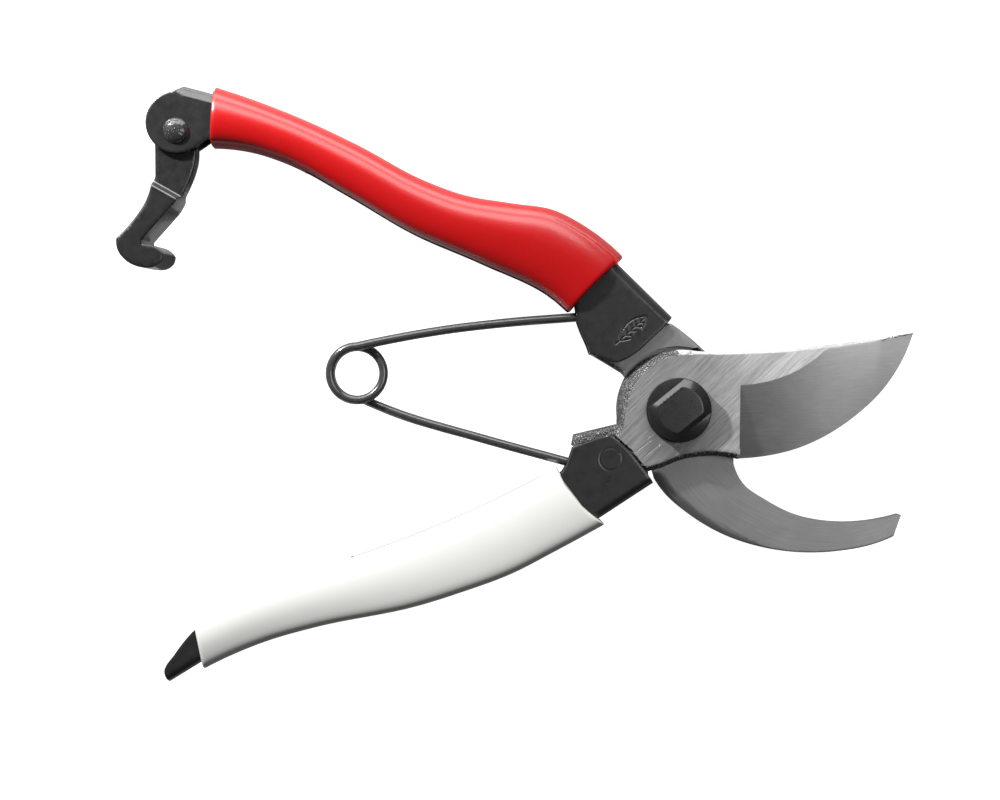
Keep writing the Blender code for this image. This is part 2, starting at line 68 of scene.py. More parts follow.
MM = 0.001
PIVOT = frame["joints"][0]["pos_m"]
FORGING = 4.2                  # each half's hub, from the meeting plane
HALF_GAP = 0.15
TANG_HALF = 2.7
CHANNEL_HALF = 4.3
SHEET = 1.3
GRIP_HALF = 6.6
SLEEVE_WALL = 1.4
COIL_CENTRE = (-75.2, 8.2)     # the axis that the upper leg turns about
DRAWN_COIL_Y = 8.6
COIL_RADIUS = 6.25
COIL_PITCH = 2.4
WIRE_RADIUS = 1.05
LATCH_AXIS = (-117.4, 64.7)
WHITE_NECK_RIVET = (-15.8, -11.4)
WHITE_TANG_RIVET = (-32.0, -25.8)
RED_RIVETS = [(-21.6, 32.0), (-30.5, 37.2)]
PIVOT_BORE = 4.3
PIN_HOLE = 2.1
TANG_SHOULDER = 14.85          # radius where the counter-blade steps up into its tang
FOLD_RADIUS = 2.1
SLEEVE_FIT = SLEEVE_WALL + 0.3
EDGE_ANGLE = 38                # degrees between faces, above which an edge is drawn sharp
LOFT_ANGLE = 60
NOISE_LOW, NOISE_HIGH = 0.3, 0.7   # where nearly all of a noise texture's values lie

# Slots along the sleeves' inner sides that the spring folds into.
NOTCH_HALF = 3.2
WHITE_NOTCH = [(-31.0, -13.5), (-31.3, -17.0), (-40.9, -22.9), (-53.3, -27.7), (-75.6, -36.2),
               (-77.0, -33.0), (-53.0, -23.0), (-39.0, -16.5)]
RED_NOTCH = [(-24.0, 19.0), (-27.0, 28.6), (-44.6, 37.4), (-60.6, 44.3), (-76.4, 53.6),
             (-86.5, 58.6), (-87.5, 53.5), (-79.0, 49.0), (-62.0, 39.0), (-46.0, 32.0),
             (-29.0, 22.0)]

RED_OUTER = [(-12.5, 35.8), (-21.6, 43.2), (-29.0, 47.0), (-39.0, 48.6), (-50.0, 50.5),
             (-60.0, 54.2), (-74.5, 62.0), (-88.6, 68.6), (-108.4, 75.8)]
RED_INNER = [(-25.6, 22.6), (-28.9, 25.6), (-46.0, 34.2), (-62.0, 41.2), (-78.0, 50.5),
             (-92.0, 58.0), (-100.0, 60.6), (-109.2, 61.6)]
WHITE_OUTER = [(-17.0, -26.5), (-28.7, -32.9), (-39.2, -38.3), (-50.0, -42.3),
               (-60.4, -45.6), (-85.1, -50.8), (-95.6, -53.8), (-110.8, -60.5)]
WHITE_INNER = [(-28.3, -13.1), (-40.0, -19.2), (-53.3, -25.4), (-74.5, -33.6),
               (-95.6, -40.4), (-113.2, -48.2)]


# ---- lines in the plane

def smooth(stops, steps=8):
    """Points on a curve through the stops, by cubic pieces; two stops give a straight line."""
    stops = np.array(stops, float)
    if len(stops) == 2:
        return stops
    chords = stops[1:] - stops[:-1]
    spans = np.linalg.norm(chords, axis=1)
    chords /= spans[:, None]
    inner = ((chords[:-1] * spans[1:, None] + chords[1:] * spans[:-1, None])
             / (spans[:-1] + spans[1:])[:, None])
    slopes = np.vstack([2 * chords[0] - inner[0], inner, 2 * chords[-1] - inner[-1]])
    t = (np.arange(steps) / steps)[:, None]
    points = [a * (2 * t**3 - 3 * t**2 + 1) + b * (3 * t**2 - 2 * t**3)
              + from_a * span * (t**3 - 2 * t**2 + t) + into_b * span * (t**3 - t**2)
              for a, b, from_a, into_b, span in zip(stops, stops[1:], slopes, slopes[1:], spans)]
    return np.vstack(points + [stops[-1:]])


def outline(*runs):
    """A closed outline. Each run starts at a corner and leads smoothly to the next run's."""
    return np.vstack([smooth(list(run) + [following[0]])[:-1]
                      for run, following in zip(runs, runs[1:] + runs[:1])])


def arc(centre, radius, start, end, steps):
    angles = np.radians(np.linspace(start, end, steps + 1))
    return np.array(centre) + radius * np.column_stack([np.cos(angles), np.sin(angles)])


def circle(centre, radius, sides=48):
    return arc(centre, radius, 0, 360, sides)[:-1]


def spaced(points, gap, closed=False):
    """The line with its corners kept and no two points further apart than the gap."""
    points = np.array(points, float)
    if closed:
        points = np.vstack([points, points[:1]])
    out = [points[0]]
    for a, b in zip(points, points[1:]):
        length = np.linalg.norm(b - a)
        if length < 1e-6:
            continue
        count = max(1, int(np.ceil(length / gap)))
        out += [a + (b - a) * (i + 1) / count for i in range(count)]
    kept = out[:1]
    for point in out[1:-1]:
        if np.linalg.norm(point - kept[-1]) > 0.3 * gap:
            kept.append(point)
    return np.array(kept if closed else kept + [out[-1]])


def headings(points):
    """The unit direction of an open line at each of its points."""
    along = np.gradient(np.array(points, float), axis=0)
    return along / np.linalg.norm(along, axis=1)[:, None]


def shifted(points, distance):
    """The open line shifted to its left by a distance."""
    along = headings(points)
    return points + distance * np.column_stack([-along[:, 1], along[:, 0]])


def travelled(points):
    """The distance along an open line to each of its points."""
    return np.concatenate([[0], np.cumsum(np.linalg.norm(np.diff(points, axis=0), axis=1))])


def resampled(points, count):
    """The open line again, as evenly spaced points."""
    lengths = travelled(points)
    places = np.linspace(0, lengths[-1], count)
    return np.column_stack([np.interp(places, lengths, points[:, k]) for k in (0, 1)])


def away(points, line):
    """Distance of each point from an open line."""
    if not len(points):
        return np.zeros(0)
    line = np.array(line, float)
    a, ab = line[:-1], line[1:] - line[:-1]
    square = np.maximum((ab**2).sum(1), 1e-12)
    result, batch = [], 2000
    for start in range(0, len(points), batch):
        p = points[start:start + batch, None, :] - a
        t = np.clip((p * ab).sum(2) / square, 0, 1)
        result.append(np.sqrt(((p - ab * t[..., None])**2).sum(2)).min(1))
    return np.concatenate(result)


def ringed(line):
    """The line with its first point again at its end."""
    return np.vstack([line, line[:1]])


def radii(points, centre=(0, 0)):
    """Distance of each point from a centre."""
    return np.hypot(points[:, 0] - centre[0], points[:, 1] - centre[1])


def inside(points, loop):
    """Whether each point lies in a closed loop."""
    x, y = points.T
    result = np.zeros(len(points), bool)
    for (ax, ay), (bx, by) in zip(loop, np.roll(loop, -1, axis=0)):
        if ay == by:
            continue
        result ^= ((ay > y) != (by > y)) & (x < (bx - ax) * (y - ay) / (by - ay) + ax)
    return result


def within(points, loops):
    """Whether each point lies in the first loop and in none of the others."""
    found = inside(points, loops[0])
    for hole in loops[1:]:
        found &= ~inside(points, hole)
    return found


def ease(value, low, high):
    """0 below low, 1 above high, and smooth between."""
    t = np.clip((value - low) / (high - low), 0, 1)
    return t * t * (3 - 2 * t)


def rounding(distance, radius):
    """How far a rounded edge has dropped at a distance from the edge."""
    reach = np.clip(radius - distance, 0, radius)
    return radius - np.sqrt(radius**2 - reach**2)


def rough(points, scale, seed=0.0):
    """A soft uneven field over the plane, about -1 to 1."""
    return np.array([noise.noise(Vector((x / scale, y / scale, seed))) for x, y in points])


def level(height):
    """A height function that is the same everywhere."""
    return lambda p: np.full(len(p), height)


# ---- pieces

def new_object(name, vertices, faces, materials, zones=None, sharp=EDGE_ANGLE):
    """A mesh object; zones are its faces' material numbers."""
    mesh = bpy.data.meshes.new(name)
    mesh.from_pydata([tuple(v) for v in vertices], [], faces)
    for surface in materials:
        mesh.materials.append(surface)
    if zones:
        mesh.polygons.foreach_set("material_index", np.array(zones, np.int32))
    mesh.update()
    mesh.shade_smooth()
    mesh.set_sharp_from_angle(angle=radians(sharp))
    thing = bpy.data.objects.new(name, mesh)
    bpy.context.scene.collection.objects.link(thing)
    return thing


def world(points):
    """Points in millimetres from the pivot, in the frame's metres."""
    return np.array(points, float) * MM + [0, 0, PIVOT[2]]


def filling(loops, fences, gap, fine, fine_gap, rings):
    """Points within the loops: rows on both sides of each fence, then a coarse and a fine grid."""
    def clear(candidates, reach):
        candidates = candidates[within(candidates, loops)]
        nearest = np.min([away(candidates, fence) for fence in fences], axis=0)
        return candidates[nearest > reach]

    found = []
    for reach in rings:
        for fence in fences:
            for side in (-1, 1):
                row = shifted(fence, side * reach)
                found.append(clear(row[::1 if reach > 0.2 else 2], 0.9 * reach))
    low, high = loops[0].min(0), loops[0].max(0)
    for grid_gap, wanted in ((gap, False), (fine_gap, True)):
        if wanted and fine is None:
            continue
        xs = np.arange(low[0], high[0], grid_gap)
        ys = np.arange(low[1], high[1], grid_gap * 0.866)
        gx, gy = np.meshgrid(xs, ys)
        gx = gx + (np.arange(len(ys)) % 2)[:, None] * grid_gap / 2
        grid = np.column_stack([gx.ravel(), gy.ravel()])
        if fine is not None:
            grid = grid[fine(grid) == wanted]
        found.append(clear(grid, max(rings, default=0.2) + 0.4 * grid_gap))
    return np.vstack(found)


def triangulated(points, edges, loops):
    """Places, triangles that face up, and the triangles' middles, within the loops."""
    flat, _, triangles, _, _, _ = delaunay_2d_cdt([Vector(p) for p in points], edges, [], 0, 1e-5)
    flat = np.array([tuple(v) for v in flat])
    triangles = np.array(triangles)
    middles = flat[triangles].mean(1)
    keep = within(middles, loops)
    triangles, middles = triangles[keep], middles[keep]
    a, b, c = (flat[triangles[:, k]] for k in range(3))
    turn = (b[:, 0] - a[:, 0]) * (c[:, 1] - a[:, 1]) - (b[:, 1] - a[:, 1]) * (c[:, 0] - a[:, 0])
    solid = abs(turn) > 1e-9
    triangles, middles, turn = triangles[solid], middles[solid], turn[solid]
    triangles[turn < 0] = triangles[turn < 0][:, ::-1]
    used = np.unique(triangles)
    index = np.full(len(flat), -1)
    index[used] = np.arange(len(used))
    return flat[used], index[triangles], middles


def border(triangles):
    """The directed edges that only one triangle has."""
    single = {}
    for triangle in triangles.tolist():
        for p, q in zip(triangle, triangle[1:] + triangle[:1]):
            if (q, p) in single:
                del single[(q, p)]
            else:
                single[(p, q)] = True
    return list(single)


def relief(name, edge, top, bottom, materials, holes=(), creases=(), gap=0.7, fine=None,
           fine_gap=0.3, zone=None, side_zone=0, rings=(0.1, 0.25, 0.5)):
    """A solid over an outline, its top and bottom heights given by functions of the place.

    Mesh edges follow the creases. The gap is the mesh's spacing, and the fine gap is its spacing
    where fine() says so. The zones are material numbers: zone() for the top, side_zone elsewhere.
    """
    step = min(gap, 0.5)
    loops = [spaced(edge, step, True)] + [spaced(hole, step, True) for hole in holes]
    lines = [spaced(crease, step) for crease in creases]
    points, edges = [], []
    for path, closed in [(loop, 1) for loop in loops] + [(line, 0) for line in lines]:
        start, count = len(points), len(path)
        points += [tuple(p) for p in path]
        edges += [(start + i, start + (i + 1) % count) for i in range(count - 1 + closed)]
    fences = [ringed(loop) for loop in loops] + lines
    points += [tuple(p) for p in filling(loops, fences, gap, fine, fine_gap, rings)]
    flat, triangles, middles = triangulated(points, edges, loops)

    count = len(flat)
    vertices = world(np.vstack([np.column_stack([flat, height(flat)])
                                for height in (top, bottom)]))
    walls = border(triangles)
    faces = triangles.tolist() + (triangles[:, ::-1] + count).tolist()
    faces += [(q, p, p + count, q + count) for p, q in walls]
    zones = list(zone(middles)) if zone else [0] * len(triangles)
    zones += [side_zone] * (len(triangles) + len(walls))
    thing = new_object(name, vertices, faces, materials, zones)
    rims = {frozenset(pair) for p, q in walls for pair in ((p, q), (p + count, q + count))}
    for line in thing.data.edges:
        if frozenset(line.vertices) in rims:
            line.use_edge_sharp = True
    return thing


def skin(name, rings, materials, closed=False):
    """A skin over rings of the same number of points; a closed one joins its last to its first."""
    rings = np.array(rings, float)
    count, sides = rings.shape[:2]
    faces = []
    for i in range(count if closed else count - 1):
        k = (i + 1) % count
        faces += [(i * sides + j, i * sides + (j + 1) % sides,
                   k * sides + (j + 1) % sides, k * sides + j) for j in range(sides)]
    if not closed:
        faces += [tuple(range(sides))[::-1],
                  tuple(range((count - 1) * sides, count * sides))]
    return outward(new_object(name, world(rings.reshape(-1, 3)), faces, materials,
                              sharp=LOFT_ANGLE))


def outward(thing):
    """The object, with its closed mesh's faces turned outward."""
    model = bmesh.new()
    model.from_mesh(thing.data)
    bmesh.ops.recalc_face_normals(model, faces=model.faces)
    model.to_mesh(thing.data)
    model.free()
    return thing


def turned(name, profile, materials, centre=(0, 0), sides=64):
    """A solid of revolution from (radius, height) pairs; ends on the axis are closed."""
    vertices, rows = [], []
    for radius, height in profile:
        if radius < 1e-6:
            rows.append([len(vertices)] * sides)
            vertices.append((centre[0], centre[1], height))
        else:
            rows.append(list(range(len(vertices), len(vertices) + sides)))
            vertices += [(x, y, height) for x, y in circle(centre, radius, sides)]
    faces = []
    closed = profile[0][0] > 1e-6
    for i in range(len(rows) if closed else len(rows) - 1):
        a, b = rows[i], rows[(i + 1) % len(rows)]
        for j in range(sides):
            k = (j + 1) % sides
            face = tuple(dict.fromkeys((a[j], b[j], b[k], a[k])))
            if len(face) > 2:
                faces.append(face)
    return outward(new_object(name, world(vertices), faces, materials))


def cut(target, cutter):
    """Cut one closed mesh from another for good."""
    modifier = target.modifiers.new("cut", 'BOOLEAN')
    modifier.operation = 'DIFFERENCE'
    modifier.solver = 'EXACT'
    modifier.object = cutter
    bpy.context.view_layer.update()
    mesh = bpy.data.meshes.new_from_object(
        target.evaluated_get(bpy.context.evaluated_depsgraph_get()))
    target.modifiers.clear()
    target.data = mesh
    bpy.data.objects.remove(cutter)
    mesh.shade_smooth()
    mesh.set_sharp_from_angle(angle=radians(EDGE_ANGLE))


# ---- materials

class Surface:
    """A Principled material whose colour, roughness and bump come from noise nodes."""

    def __init__(self, name, **constants):
        self.material = bpy.data.materials.new(name)
        self.material.use_nodes = True
        self.tree = self.material.node_tree
        self.shader = self.tree.nodes["Principled BSDF"]
        self.place = self.node("TexCoord", {}).outputs["Object"]
        for key, value in constants.items():
            self.shader.inputs[key.replace("_", " ")].default_value = value

    def node(self, kind, sockets, **settings):
        """A node with its settings made and its sockets linked or set."""
        made = self.tree.nodes.new("ShaderNode" + kind)
        for key, value in settings.items():
            setattr(made, key, value)
        for key, value in sockets.items():
            if isinstance(value, bpy.types.NodeSocket):
                self.tree.links.new(value, made.inputs[key])
            else:
                made.inputs[key].default_value = value
        return made

    def vectors(self, operation, a, b):
        return self.node("VectorMath", {0: a, 1: b}, operation=operation).outputs[0]

    def maths(self, operation, a, b):
        return self.node("Math", {0: a, 1: b}, operation=operation).outputs[0]

    def mapped(self, scale, turn=0, shift=(0, 0, 0)):
        """The place on the piece in millimetres, turned about Z, then stretched."""
        spin = self.node("Mapping", {"Rotation": (0, 0, radians(-turn)), "Location": shift,
                                     "Vector": self.place})
        return self.vectors('MULTIPLY', spin.outputs[0], [s / MM for s in scale])

    def rings(self, centre, across, along):
        """The place as distance from an axis and way round it, for grain that follows an arc."""
        offset = self.vectors('SUBTRACT', self.place, (centre[0] * MM, centre[1] * MM, 0))
        x, y, _ = self.node("SeparateXYZ", {0: offset}).outputs
        angle = self.maths('ARCTAN2', y, x)
        level_offset = self.vectors('MULTIPLY', offset, (1, 1, 0))
        length = self.node("VectorMath", {0: level_offset}, operation='LENGTH').outputs["Value"]
        return self.node("CombineXYZ", {0: self.maths('MULTIPLY', length, across / MM),
                                        1: self.maths('MULTIPLY', angle, along)}).outputs[0]

    def noise(self, vector, detail, rough):
        return self.node("TexNoise", {"Scale": 1.0, "Detail": detail, "Roughness": rough,
                                      "Vector": vector}).outputs["Fac"]

    def mottle(self, scale, detail, rough):
        """Noise without a direction, its scale given per millimetre."""
        return self.noise(self.mapped((scale, scale, scale)), detail, rough)

    def spread(self, value, low, high, start, end):
        """The value taken from low..high to start..end, and held at both ends."""
        return self.node("MapRange", {0: value, 1: low, 2: high, 3: start, 4: end}).outputs[0]

    def varied(self, value, start, end):
        """A noise taken to start..end."""
        return self.spread(value, NOISE_LOW, NOISE_HIGH, start, end)

    def colours(self, value, *stops):
        """A colour ramp of (position, colour) stops."""
        ramp = self.node("ValToRGB", {0: value})
        elements = ramp.color_ramp.elements
        while len(elements) < len(stops):
            elements.new(0.5)
        for element, (position, colour) in zip(elements, stops):
            element.position = position
            element.color = colour
        return ramp.outputs[0]

    def between(self, value, first, last):
        """A noise as a colour between two."""
        return self.colours(value, (NOISE_LOW, first), (NOISE_HIGH, last))

    def greys(self, value, dark, light):
        return self.between(value, grey(dark), grey(light))

    def blend(self, factor, a, b, mode='MIX'):
        return self.node("Mix", {0: factor, 6: a, 7: b}, data_type='RGBA',
                         blend_type=mode).outputs[2]

    def painted_light_ramp(self, tone, near, far):
        """Painted light: the tone times an amount that changes along X, from near to far: (place,
        amount).
        """
        x = self.node("SeparateXYZ", {0: self.place}).outputs[0]
        amount = self.spread(x, near[0] * MM, far[0] * MM, near[1], far[1])
        return self.node("VectorMath", {0: tone, "Scale": amount}, operation='SCALE').outputs[0]

    def finished(self, tone, roughness, *bumps):
        """The material with its colour, roughness, and bumps: (height field, millimetres)."""
        normal = {}
        for height, distance in bumps:
            sockets = {"Strength": 1.0, "Distance": distance * MM, "Height": height, **normal}
            normal = {"Normal": self.node("Bump", sockets).outputs[0]}
        for key, value in {"Base Color": tone, "Roughness": roughness, **normal}.items():
            self.tree.links.new(value, self.shader.inputs[key])
        return self.material


def grey(value):
    return (value, value, value, 1.0)


def brushed_steel():
    """Machined face of the hub: long diagonal scratches over a fine grain, brightened toward the
    blade as painted reflection.
    """
    s = Surface("brushed_hub_steel", Metallic=0.2)
    fine = s.noise(s.mapped((0.12, 5.0, 1.0), 43), 5.0, 0.7)
    broad = s.noise(s.mapped((0.05, 0.8, 0.3), 47, (0.01, 0.02, 0)), 4.0, 0.6)
    lone = s.noise(s.mapped((0.04, 3.0, 1.0), 38, (0.03, 0, 0)), 2.0, 0.5)
    scratch = s.spread(lone, 0.66, 0.74, 0.0, 1.0)
    patch = s.spread(s.mottle(0.12, 3.0, 0.5), 0.35, 0.65, 0.0, 0.3)
    tone = s.colours(s.blend(0.4, fine, broad), (0.32, grey(0.12)), (0.68, grey(0.41)))
    tone = s.blend(patch, tone, grey(0.36), 'MULTIPLY')
    tone = s.blend(s.maths('MULTIPLY', scratch, 0.35), tone, grey(0.55))
    # Painted reflection: the tone grows brighter toward the blade, to 1.85 times at x = 26 mm,
    # standing in for reflected light.
    return s.finished(s.painted_light_ramp(tone, (2, 1.0), (26, 1.85)), s.varied(fine, 0.24, 0.36),
                      (fine, 0.02), (broad, 0.05), (scratch, 0.03))


def bevel_steel():
    """Ground bevel of the cutting blade: a fine satin grain along the blade, brightened toward the
    tip as painted reflection.
    """
    s = Surface("ground_bevel_steel", Metallic=0.92)
    fine = s.noise(s.mapped((0.25, 4.0, 1.0), 4), 4.0, 0.6)
    cloud = s.spread(s.mottle(0.2, 3.0, 0.6), 0.4, 0.6, 0.0, 0.25)
    tone = s.blend(cloud, s.greys(fine, 0.31, 0.38), grey(0.8), 'MULTIPLY')
    # Painted reflection: the tone grows brighter toward the tip, from 1.3 to 1.52 times, standing
    # in for reflected light.
    return s.finished(s.painted_light_ramp(tone, (26, 1.3), (52, 1.52)), s.varied(fine, 0.34, 0.42),
                      (fine, 0.006))


def spine_steel():
    """Bright satin edge along the back of the blade."""
    s = Surface("bright_spine_steel", Metallic=0.4)
    grain = s.noise(s.mapped((0.6, 2.5, 1.0)), 4.0, 0.7)
    return s.finished(s.greys(grain, 0.32, 0.55), s.varied(grain, 0.30, 0.42), (grain, 0.05))


def jaw_steel():
    """Counter-blade: satin steel with a faint grain that follows the hook."""
    s = Surface("satin_hook_steel", Metallic=0.85)
    fine = s.noise(s.rings((36.0, 10.0), 3.5, 4.0), 4.0, 0.65)
    cloud = s.spread(s.mottle(0.15, 3.0, 0.6), 0.35, 0.65, 0.0, 0.3)
    tone = s.blend(cloud, s.greys(fine, 0.28, 0.36), grey(0.75), 'MULTIPLY')
    return s.finished(tone, s.varied(fine, 0.33, 0.43), (fine, 0.008))


def forged_steel():
    """As-forged skin: pitted, with bright grains."""
    s = Surface("forged_steel", Metallic=0.6)
    lumps = s.mottle(1.1, 5.0, 0.7)
    grains = s.mottle(3.5, 3.0, 0.7)
    tone = s.colours(grains, (0.38, grey(0.03)), (0.54, grey(0.08)), (0.66, grey(0.45)))
    return s.finished(tone, s.varied(lumps, 0.25, 0.45), (lumps, 0.4), (grains, 0.1))


def black_oxide(name="black_oxide_steel", base=0.016, roughness=0.30):
    """Blackened steel, finely mottled."""
    s = Surface(name, Metallic=0.0, Coat_Weight=0.7, Coat_Roughness=0.14)
    mottle = s.mottle(0.5, 5.0, 0.6)
    return s.finished(s.greys(mottle, base * 0.9, base * 1.15),
                      s.varied(mottle, roughness - 0.04, roughness + 0.06),
                      (s.mottle(1.5, 2.0, 0.5), 0.002))


def pitted_black():
    """Blackened steel as forged: glossy, with small pits."""
    s = Surface("pitted_black_steel", Metallic=0.0, Coat_Weight=1.0, Coat_Roughness=0.06)
    lumps = s.mottle(1.2, 4.0, 0.7)
    pits = s.spread(lumps, 0.36, 0.46, 0.0, 1.0)
    return s.finished(s.colours(pits, (0.0, grey(0.012)), (1.0, grey(0.03))),
                      s.varied(lumps, 0.2, 0.3), (pits, 0.06))


def wire_steel():
    """Drawn spring wire, dark and glossy."""
    s = Surface("dark_spring_wire", Metallic=0.5, Coat_Weight=0.8, Coat_Roughness=0.08)
    mottle = s.mottle(1.2, 4.0, 0.6)
    return s.finished(s.greys(mottle, 0.07, 0.10), s.varied(mottle, 0.2, 0.26),
                      (s.mottle(4.0, 2.0, 0.5), 0.003))


def vinyl(name, base, shade, roughness, near=(0, 1.0), far=(1, 1.0)):
    """Dipped vinyl: an even colour, scaled along X from near to far as painted shade, a soft gloss
    and a faint orange-peel surface.
    """
    s = Surface(name, Metallic=0.0, IOR=1.5, Coat_Weight=0.9, Coat_Roughness=0.23)
    tone = s.between(s.mottle(0.08, 3.0, 0.5), shade, base)
    peel = s.mottle(0.9, 2.0, 0.4)
    return s.finished(s.painted_light_ramp(tone, near, far),
                      s.varied(peel, roughness - 0.01, roughness + 0.02), (peel, 0.0015))


BRUSHED = brushed_steel()
BEVEL = bevel_steel()
SPINE_STEEL = spine_steel()
HOOK = jaw_steel()
FORGED = forged_steel()
BLACK = black_oxide()
BOLT_BLACK = black_oxide("black_bolt_steel", 0.015, 0.28)
# Lighter steel painted along the latch step's lines: a painted highlight.
STEP_HIGHLIGHT = black_oxide("step_highlight_black_steel", 0.20, 0.34)
# Lighter steel painted on the red ear's top fold: a painted highlight.
FOLD_HIGHLIGHT = black_oxide("fold_highlight_black_steel", 0.06, 0.30)
WIRE = wire_steel()
FORGED_BLACK = pitted_black()
# The red sleeve carries painted shade: its colour falls to 0.85 toward the hub end, from x = -100
# to -30 mm.
RED = vinyl("red_vinyl_dip", (0.54, 0.001, 0.002, 1.0), (0.50, 0.001, 0.002, 1.0), 0.33,
            (-100, 1.0), (-30, 0.85))
WHITE = vinyl("white_vinyl_dip", (0.73, 0.73, 0.70, 1.0), (0.71, 0.71, 0.68, 1.0), 0.36)


# ---- the two forgings

SPINE = [(55.4, 18.1), (48.3, 17.1), (41.0, 16.1), (34.0, 15.2), (27.3, 14.4), (20.0, 13.9),
         (13.6, 13.7), (6.4, 13.6), (-0.5, 14.0), (-7.6, 11.8), (-12.6, 6.6), (-14.2, 0.6)]
EDGE = [(13.6, -11.4), (20.0, -10.9), (27.3, -9.3), (34.0, -6.5), (41.0, -2.0), (48.3, 4.8),
        (53.0, 12.0)]
FACE_EDGE = [(-14.0, -6.4), (-13.0, -4.3), (-12.4, -0.5), (-11.2, 3.8), (-8.7, 7.9),
             (-5.3, 10.8), (-1.8, 12.4), (3.5, 12.9), (12.5, 12.9), (23.0, 13.3), (33.4, 14.2),
             (41.9, 15.3), (49.4, 16.8), (55.3, 18.0)]
BEVEL_TOP = [(14.6, 5.9), (19.5, 6.4), (23.2, 7.4), (27.0, 8.9), (29.9, 10.6), (32.2, 12.2),
             (34.4, 14.2)]
EDGE_LAND = 0.45               # height of the cutting edge
HUB_FOOT = [(-7.0, -14.3), (-3.9, -13.4), (0.4, -11.7), (5.0, -10.8), (13.8, -11.4)]


def cutting_blade():
    """The blade half: brushed hub, ground bevel, and an as-forged border and tang."""
    spine = smooth(SPINE)
    edge = smooth(EDGE + [SPINE[0]])
    face_edge = smooth(FACE_EDGE)
    beyond = face_edge[face_edge[:, 0] > BEVEL_TOP[-1][0] + 0.2]
    bevel_top = np.vstack([smooth(BEVEL_TOP)[:-1], beyond])
    foot = smooth(HUB_FOOT)
    stop = np.array([(-14.3, -3.3), (-24.4, -5.72), (-24.9, -8.2)])
    tang = [(-20.4, -11.5), (-21.5, -16.5), (-37.0, -24.6), (-38.0, -31.8), (-18.0, -22.6),
            (-6.9, -15.3)]
    loop = np.vstack([spine, stop, tang, foot, edge[:-1]])
    rim_line = np.vstack([spine, stop[:1]])
    bevel_zone = np.vstack([[(14.3, -11.6), (14.5, 5.9)], bevel_top, [(60.0, 18.0)],
                            edge[::-1] + [0.5, -0.8]])
    face_zone = np.vstack([face_edge, [(62.0, 18.0), (62.0, -40.0), (-14.0, -40.0)]])
    hub_side = [(-14.2, -3.3), (-14.9, -6.0), (-13.4, -7.2), (-11.3, -9.0), (-9.2, -11.6)]
    hub_zone = np.vstack([hub_side, foot, [(70.0, -11.4), (70.0, 30.0), (-20.0, 30.0),
                                           (-20.0, -3.6)]])

    def face_height(p):
        return np.interp(p[:, 0], [14.6, 20.0, 27.3, 34.0, 41.0, 48.3, 53.0, 55.4],
                         [FORGING, 4.0, 3.55, 3.05, 2.5, 1.95, 1.5, 1.2])

    slopes = (face_height(bevel_top) - EDGE_LAND) / np.maximum(away(bevel_top, edge), 0.5)
    slopes = np.minimum(slopes, 0.22)

    def top(p):
        height = face_height(p)
        x, y = p.T
        to_face, to_rim = away(p, face_edge), away(p, rim_line)
        border = ~inside(p, face_zone) & (y > -6.5)
        t = to_face / np.maximum(to_face + to_rim, 1e-6)
        drop = 2.7 - 2.3 * ease(x, -9.0, 3.0)
        lumps = rough(p, 0.75) + 0.6 * rough(p, 0.35, 5.0)
        coarse = (0.22 * (1 - ease(x, -2.0, 16.0)) + 0.02) * (1 - 0.6 * ease(t, 0.45, 0.7))
        z = np.where(border, height - drop * t**1.2 + coarse * lumps * ease(t, 0.0, 0.2),
                     height)
        bevel = EDGE_LAND + away(p, edge) * np.interp(x, bevel_top[:, 0], slopes)
        z = np.where(inside(p, bevel_zone), np.minimum(z, bevel), z)
        low = rounding(away(p, foot) + 0.15 * lumps, 1.5) * (1 - ease(x, 13.0, 14.4))
        z = np.where((y < -5.0) & inside(p, hub_zone), z - 1.2 * low, z)
        low_z = TANG_HALF - rounding(away(p, stop), 1.3) + 0.12 * lumps * ease(y, -9.0, -7.0)
        return np.where(inside(p, hub_zone), z, low_z)

    def bottom(p):
        in_tang = ~inside(p, hub_zone) & (radii(p) > 14.5)
        return np.where(in_tang, -TANG_HALF + rounding(away(p, stop), 1.0), HALF_GAP)

    def zone(p):
        x = p[:, 0]
        bevel, forged, bright = 1, 2, 3
        found = np.zeros(len(p), int)
        found[~inside(p, face_zone)] = forged
        found[~inside(p, face_zone) & (x > rough(p, 0.5, 8.0) * 3.0)] = bright
        found[inside(p, bevel_zone)] = bevel
        found[~inside(p, hub_zone)] = forged
        found[(away(p, foot) < 1.1) & (x < 14.2)] = forged
        return found

    def fine(p):
        return (away(p, rim_line) < 3.4) & (p[:, 0] < 8) | (away(p, stop) < 3.5) | (
            (away(p, foot) < 1.6))

    shoulder = np.array([(14.55, 5.7), (14.5, 0.0), (14.3, -10.6)])
    piece = relief("cutting_blade_forging", loop, top, bottom,
                   [BRUSHED, BEVEL, FORGED, SPINE_STEEL],
                   holes=[circle((0, 0), PIVOT_BORE)],
                   creases=[face_edge[6:-2], smooth(BEVEL_TOP), shoulder,
                            shoulder + [-0.18, 0], arc((0, 0), 14.75, 200, 238, 20)],
                   gap=0.8, fine=fine, zone=zone, side_zone=2)
    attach(piece, "blade_half")
    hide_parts("cutting_blade")


HOOK_INNER = [(13.3, -12.6), (15.6, -17.3), (20.7, -21.0), (27.7, -24.5), (38.3, -26.4),
              (46.0, -25.9)]
HOOK_OUTER = [(50.9, -29.7), (46.0, -31.6), (38.3, -33.1), (30.1, -33.5),
              (20.7, -32.4), (10.1, -28.9), (3.1, -24.7), (-3.6, -18.6)]


